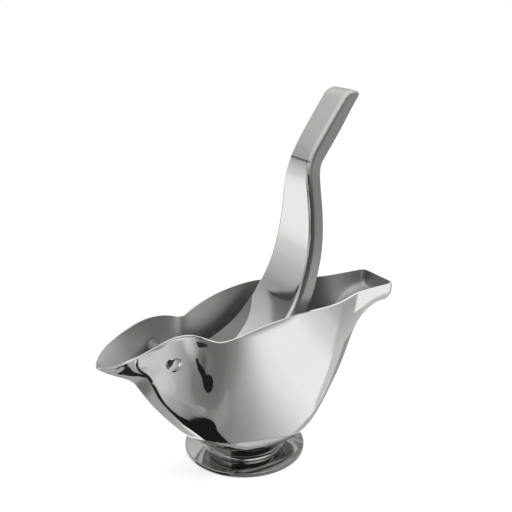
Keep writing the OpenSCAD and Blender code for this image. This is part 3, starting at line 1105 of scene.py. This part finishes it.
PAINTED_REFLECTIONS = (
    # wide fields on the floor, painted reflections that only the steel sees
    PaintedReflection("front_field", ((-1500, -1500), (1500, -1500), (1500, -120), (-1500, -120)),
         ((-1500, 0.04), (-300, 0.05), (-80, 0.14), (-20, 0.2), (10, 0.38), (90, 0.38), (400, 0.36),
         (1500, 0.5)), 10, 0.2),
    PaintedReflection("far_field", ((-20, 95), (1500, 95), (1500, 1500), (-760, 1500)),
         ((-200, 0.36), (0, 0.42), (200, 0.5)), 45, 0.25),
    PaintedReflection("far_left", ((-1500, -60), (-170, -20), (-75, 95), (-1440, 1500), (-1500, 1500)),
         ((-400, 0.25), (-100, 0.35)), 40, 0.3),
    PaintedReflection("side_grade", ((-156, -144), (-10, -144), (4, -131), (236, -131), (236, 28), (97, 28), (97, -20),
         (60, -18), (42, -9), (33, -7), (-25, -7), (-45, 0), (-62, -7), (-156, -34)),
         ((-150, 0.15), (-60, 0.18), (-40, 0.225), (-25, 0.25), (-15, 0.29), (-5, 0.39), (5, 0.54),
         (15, 0.74), (25, 0.9), (38, 1.0), (76, 1.0), (88, 0.9), (100, 0.8), (118, 0.72), (138, 0.54),
         (170, 0.46), (230, 0.5)), 6, 0.3),
    # painted reflections in the tail and the belly
    PaintedReflection("tail_grey", ((84, -46), (240, -52), (240, 70), (130, 70), (84, 34)),
         ((92, 0.64), (115, 0.52), (150, 0.42), (230, 0.4)), 16, 0.35),
    PaintedReflection("tail_light", upright(-12, (41.4, 57.5), (41.2, 52), (42, 49), (43.4, 46.3), (46.3, 44.2),
         (49.8, 45.2), (50.6, 47.7), (53, 48.7), (57, 50), (64, 51), (64, 57.5)), 1.0),
    PaintedReflection("belly_mid", ((25, -8), (40, -26), (60, -30), (100, -34), (108, 28), (84, 38), (60, 32), (40, 26),
         (24, 12)), ((31, 0.62), (60, 0.66), (99, 0.6)), 6, 0.4),
    PaintedReflection("belly_line", ((12, -19), (26, -20), (38, -14), (48, -6), (62, 0), (76, 3), (98, 3), (106, 10),
         (100, 22), (86, 28), (70, 26), (56, 20), (40, 18), (28, 10), (25, -5), (14, -13)),
         ((12, 0.5), (30, 0.45), (60, 0.34), (98, 0.32)), 2.5, 0.45),
    # painted reflections in the head, the chest and the line under the beak
    PaintedReflection("left_strip", ((-75, -14), (-58, -14), (-46, -8.5), (-33, -2), (-26.5, -1), (-27, 60), (-75, 60)),
         ((-75, 0.16), (-63, 0.17), (-58, 0.2), (-54, 0.38), (-46, 0.40), (-40, 0.42), (-26, 0.5)),
         1.5, 0.45),
    PaintedReflection("head_low", ((-49, -32), (-40, -10), (-28, -16), (-17, -40), (-12, -60), (-20, -84), (-30, -88),
         (-44, -56)), ((-50, 0.30), (-18, 0.33)), 8, 0.45),
    PaintedReflection("head_face", upright(-16.5, (-28.2, 51), (-28.2, 43), (-29.2, 38.5), (-31.3, 31), (-34, 21),
         (-38, 5), (-44, 3.5), (-54, 6), (-55, 12), (-50, 24), (-43, 38), (-39.5, 44), (-36, 50), (-33, 52)),
         ((-55, 0.6), (-52, 0.64), (-50, 0.68), (-48, 0.65), (-45.3, 0.52), (-43.2, 0.43), (-41.5, 0.36),
         (-40.2, 0.28)), 1.2, lean=-0.28),
    PaintedReflection("head_light", ((-45.2, -6.6), (-45.2, -11), (-42, -17), (-38, -18), (-35.6, -12), (-35.6, -6.6)),
         ((-45, 0.7), (-41, 0.7), (-36, 0.55)), 0.8, 30),
    PaintedReflection("neck_side", upright(-13.2, (-25.8, 48.2), (-26.0, 43), (-25.6, 39.5), (-23.4, 40), (-22.6, 44),
         (-23.4, 48.2)), 0.19),
    PaintedReflection("chest_light", ((-60, -15), (-50, -10), (-37.8, -7.2), (-39, -11), (-41, -16), (-44, -23),
         (-50.5, -32)), ((-60, 0.66), (-50, 0.62), (-45, 0.46), (-40, 0.34), (-38, 0.32)), 1.5, 0.5),
    PaintedReflection("chest_black", ((-59, -12.3), (-57.5, -12.7), (-54, -11.4), (-50.5, -9.3), (-48, -8.5), (-45, -7.4),
         (-42.4, -6.2), (-39.4, -4.7), (-36.2, -3), (-32.6, -2.5), (-28.6, -2), (-24, -2), (-18, -6),
         (-17, -16), (-19, -17), (-22.7, -18), (-27, -17.8), (-30.9, -17.7), (-33.6, -19.4), (-37, -19.9),
         (-39.2, -18.8), (-40.6, -16.9), (-40.7, -15.3), (-40, -13), (-38.8, -10.4), (-38.1, -8.7),
         (-40, -8.3), (-42.6, -9.1), (-45.6, -10.4), (-48.6, -12.2), (-51.5, -13.8), (-54.5, -15.6),
         (-57.5, -17), (-59, -17)), 0.012, 0.6, 0.6),
    PaintedReflection("beak_line", ((-53, -1.2), (-51.7, -2.6), (-50.5, -3.6), (-49.4, -4.5), (-48.1, -5.1),
         (-47.9, -4.6), (-47.1, -4.5), (-45.6, -4.9), (-44.3, -5.6), (-43.1, -5.6), (-43.6, -4.8),
         (-44.8, -4.2), (-46.2, -3.6), (-47.5, -2.8), (-49, -2.3), (-50.7, -2.0), (-52.2, -1.2)),
         0.02, 0.12, 40),
    PaintedReflection("neck_mark", upright(-16, (-27.1, 45), (-27.4, 43.5), (-27.5, 42.1), (-27.7, 40.6), (-27.6, 39.1),
         (-27.5, 37.6), (-27.7, 35.5), (-28, 33.2), (-27.7, 31.5), (-26.8, 31.1), (-25.5, 32.5),
         (-24.6, 34.7), (-24.6, 36.7), (-25.1, 38.4), (-25.8, 39.1), (-26.2, 39.8), (-26.4, 41.3),
         (-26.5, 42.3), (-26.7, 43.3), (-26.6, 44.7)), 0.015, 0.18),
    PaintedReflection("neck_cap", upright(-14, (-26.9, 51), (-26.2, 50.9), (-25.9, 50.4), (-25.4, 49.6), (-25.8, 48.9),
         (-26.5, 48.9)), 0.03, 0.15),
    # dim glowing sheets that stand round the front, painting darker reflections
    PaintedReflection("left_dark_reflection", ((-208, -55, 0), (-30, -158, 0), (-30, -158, 150), (-208, -55, 150)),
         ((-208, 0.15), (-150, 0.05), (-30, 0.03)), 6),
    PaintedReflection("front_dark_reflection", ((-40, -152, 0), (52, -205, 0), (52, -205, 165), (-40, -152, 165)),
         ((-40, 0.03), (20, 0.05), (52, 0.08)), 6),
    PaintedReflection("side_dim_reflection", ((42, -203, 0), (330, -230, 0), (330, -230, 190), (42, -203, 190)),
         ((42, 0.08), (120, 0.22), (330, 0.4)), 6),
    # painted shade and painted light near the foot, seen in the steel
    PaintedReflection("foot_shade", ((-95, -65), (-55, -105), (0, -120), (55, -105), (95, -65), (42, -35), (24, -52),
         (0, -57), (-20, -50), (-20, -22), (-40, -26)), 0.04, 4, 40, from_below=True),
    PaintedReflection("foot_glow", ((-16, -26), (-16, -46), (10, -50), (34, -44), (34, -26)), 1.4, 3, 40, from_below=True),
    PaintedReflection("foot_light", hung(((20, 20), (95, 20), (95, 46), (20, 46)), 170, (-18, -10, 2)), 1.15, 20),
    # the painted dark reflection that the presser mirrors
    PaintedReflection("back_grey", hung((*BACK_EDGE, (124.2, 17.2), (123.7, 18.6), (123, 21.2), (121.6, 24),
         (119.4, 27.5), (117.5, 31), (131, 31)), 2000),
         ((300, 0.13), (650, 0.15), (820, 0.18), (928, 0.23), (1043, 0.29), (1200, 0.34)), 8, axis="Z"),
    PaintedReflection("back_dark", hung((*BACK_EDGE, (124.1, 17.2), (124.3, 18.4), (125.4, 18.2), (126.8, 16.8),
         (128, 15), (129, 13.2), (131, 12)), 1980), 0.05, 8),
)


@dataclass
class Studio:
    """A white floor, soft lamps, glowing sheets that paint reflections into the steel, and the camera.

    Attributes:
        floor_tones: what the steel mirrors of the floor, by the distance in metres: a painted pool of light,
            brightest near the squeezer.
        paper: metres between which the floor turns plain white, and the share of it before and after.
        far_sky, left_sky, right_sky: each side's tones by height, which the blends join.
    """

    camera_place: tuple = (-137.4, -232.5, 170.3)
    forward: tuple = (0.4852, 0.8088, -0.3323)
    right: tuple = (0.8575, -0.5144, 0.0)
    up: tuple = (0.1710, 0.2850, 0.9432)
    lens: float = 57.1
    sensor: float = 36.0
    clip: tuple = (0.01, 20.0)
    floor_radius: float = 6.0
    floor_corners: int = 96
    floor_grey: float = 0.85
    floor_tones: tuple = ((0.2, 1.0), (0.41, 1.0), (0.564, 0.9), (0.732, 0.77), (1.18, 0.71), (3.0, 0.66))
    paper: tuple = (0.12, 0.5, 0.75, 1.0)
    far_sky: tuple = ((-0.2, 0.8), (0.0, 0.63), (0.05, 0.57), (0.14, 0.48), (0.22, 0.37), (0.30, 0.42),
                      (0.42, 0.52), (0.5, 0.6), (0.7, 0.75), (1.0, 0.8))
    left_sky: tuple = ((-0.2, 0.10), (0.0, 0.11), (0.14, 0.14), (0.31, 0.33), (0.44, 0.62), (0.59, 0.83),
                       (0.8, 0.9), (1.0, 0.8))
    right_sky: tuple = ((-0.2, 0.30), (0.0, 0.30), (0.1, 0.22), (0.2, 0.22), (0.35, 0.28), (0.5, 0.30),
                        (0.6, 0.34), (0.75, 0.7), (0.86, 0.9), (1.0, 0.8))
    far_blend: tuple = (-0.35, 0.35)
    right_blend: tuple = (-0.45, 0.2)
    aim: tuple = (0, 0, 40)

    def camera(self) -> None:
        """Places the camera as in the photograph."""
        data = bpy.data.cameras.new("camera")
        data.lens, data.sensor_width = self.lens, self.sensor
        data.clip_start, data.clip_end = self.clip
        made = bpy.data.objects.new("camera", data)
        bpy.context.collection.objects.link(made)
        turn = Matrix((self.right, self.up, [-v for v in self.forward])).transposed().to_4x4()
        made.matrix_world = Matrix.Translation(Vector(self.camera_place) * MM) @ turn
        bpy.context.scene.camera = made

    def floor(self) -> None:
        """Lays the white floor, which takes the shadow and is a graded backdrop to the steel."""
        made = circle("floor", self.floor_corners, self.floor_radius)
        paint, bench = blank("floor_white")
        rays = bench.node("LightPath").outputs
        mirrored = Shade(bench, rays["Is Glossy Ray"]) + Shade(bench, rays["Is Transmission Ray"])
        mirrored = mirrored.clipped(0.0, 1.0)
        away = bench.value("VectorMath", {"operation": "LENGTH"}, {0: bench.here()}, "Value")
        paper = bench.between(away, *self.paper)
        seen = (Shade(bench, rays["Is Camera Ray"]) * paper + mirrored).clipped(0.0, 1.0)
        # a painted pool of light: the floor's glow in the steel's reflections fades with distance
        tone = bench.graded(away, self.floor_tones)
        grey = self.floor_grey
        matt = bench.node("BsdfDiffuse", {}, {"Color": (grey, grey, grey, 1)})
        bench.emitting(1 - mirrored * (1 - tone), seen, matt.outputs[0])
        dressed(made, paint)

    def sky(self) -> None:
        """Sets the room's even light: a backdrop on the far side and a dimmer room on the near side."""
        world = bpy.data.worlds.new("room")
        bpy.context.scene.world = world
        world.use_nodes = True
        bench = Bench(world.node_tree)
        parts = bench.node("SeparateXYZ", {}, {0: bench.node("TexCoord").outputs["Generated"]}).outputs
        height = Shade(bench, parts["Z"])
        skies = (self.far_sky, self.left_sky, self.right_sky)
        far, left, right = [bench.graded(height, sky) for sky in skies]
        to_far = bench.between(Shade(bench, parts["Y"]), *self.far_blend)
        to_right = bench.between(Shade(bench, parts["X"]), *self.right_blend)
        near = to_right * right + (1 - to_right) * left
        room = to_far * far + (1 - to_far) * near
        camera = bench.value("LightPath", {}, {}, "Is Camera Ray")
        glow = bench.node("Background", {}, {"Color": (1, 1, 1, 1), "Strength": camera + (1 - camera) * room})
        bench.node("OutputWorld", {}, {"Surface": glow.outputs[0]})

    def lamp(self, name: str, place: tuple, side: float, watts: float) -> None:
        """Hangs a square soft box.

        Args:
            name: the lamp's name.
            place: where it hangs, in millimetres.
            side: its width and height in millimetres.
            watts: its power.
        """
        data = bpy.data.lights.new(name, "AREA")
        data.shape, data.size, data.energy = "SQUARE", side * MM, watts
        made = bpy.data.objects.new(name, data)
        bpy.context.collection.objects.link(made)
        made.location = Vector(place) * MM
        made.rotation_euler = (Vector(place) - Vector(self.aim)).to_track_quat("Z", "Y").to_euler()
        made.visible_glossy = False

    def build(self) -> None:
        """Sets up the whole studio."""
        bpy.context.scene.view_settings.view_transform = "Standard"
        self.camera()
        self.floor()
        self.sky()
        for card in PAINTED_REFLECTIONS:
            card.lay()
        self.lamp("key_box", (600, -200, 800), side=500, watts=12.0)
        self.lamp("top_box", (-150, 300, 900), side=600, watts=9.0)


# Assembly


def report(piece: Object, body: Body) -> None:
    """Logs one finished piece and the body that it rides on."""
    log.info("%s: %d faces, rides on %s", piece.name, len(piece.data.polygons), body.value)


def main() -> None:
    """Builds the squeezer and its studio in order."""
    logging.basicConfig(level=logging.INFO, format="%(message)s")
    report(PressedBowl().build(), Body.BASE)
    report(RoundFoot().build(), Body.BASE)
    hinge = Hinge()
    report(hinge.rivet(), Body.BASE)
    report(hinge.tube(), Body.LEVER)
    report(PressLever(hinge).build(), Body.LEVER)
    Studio().build()


if __name__ == "__main__":
    main()
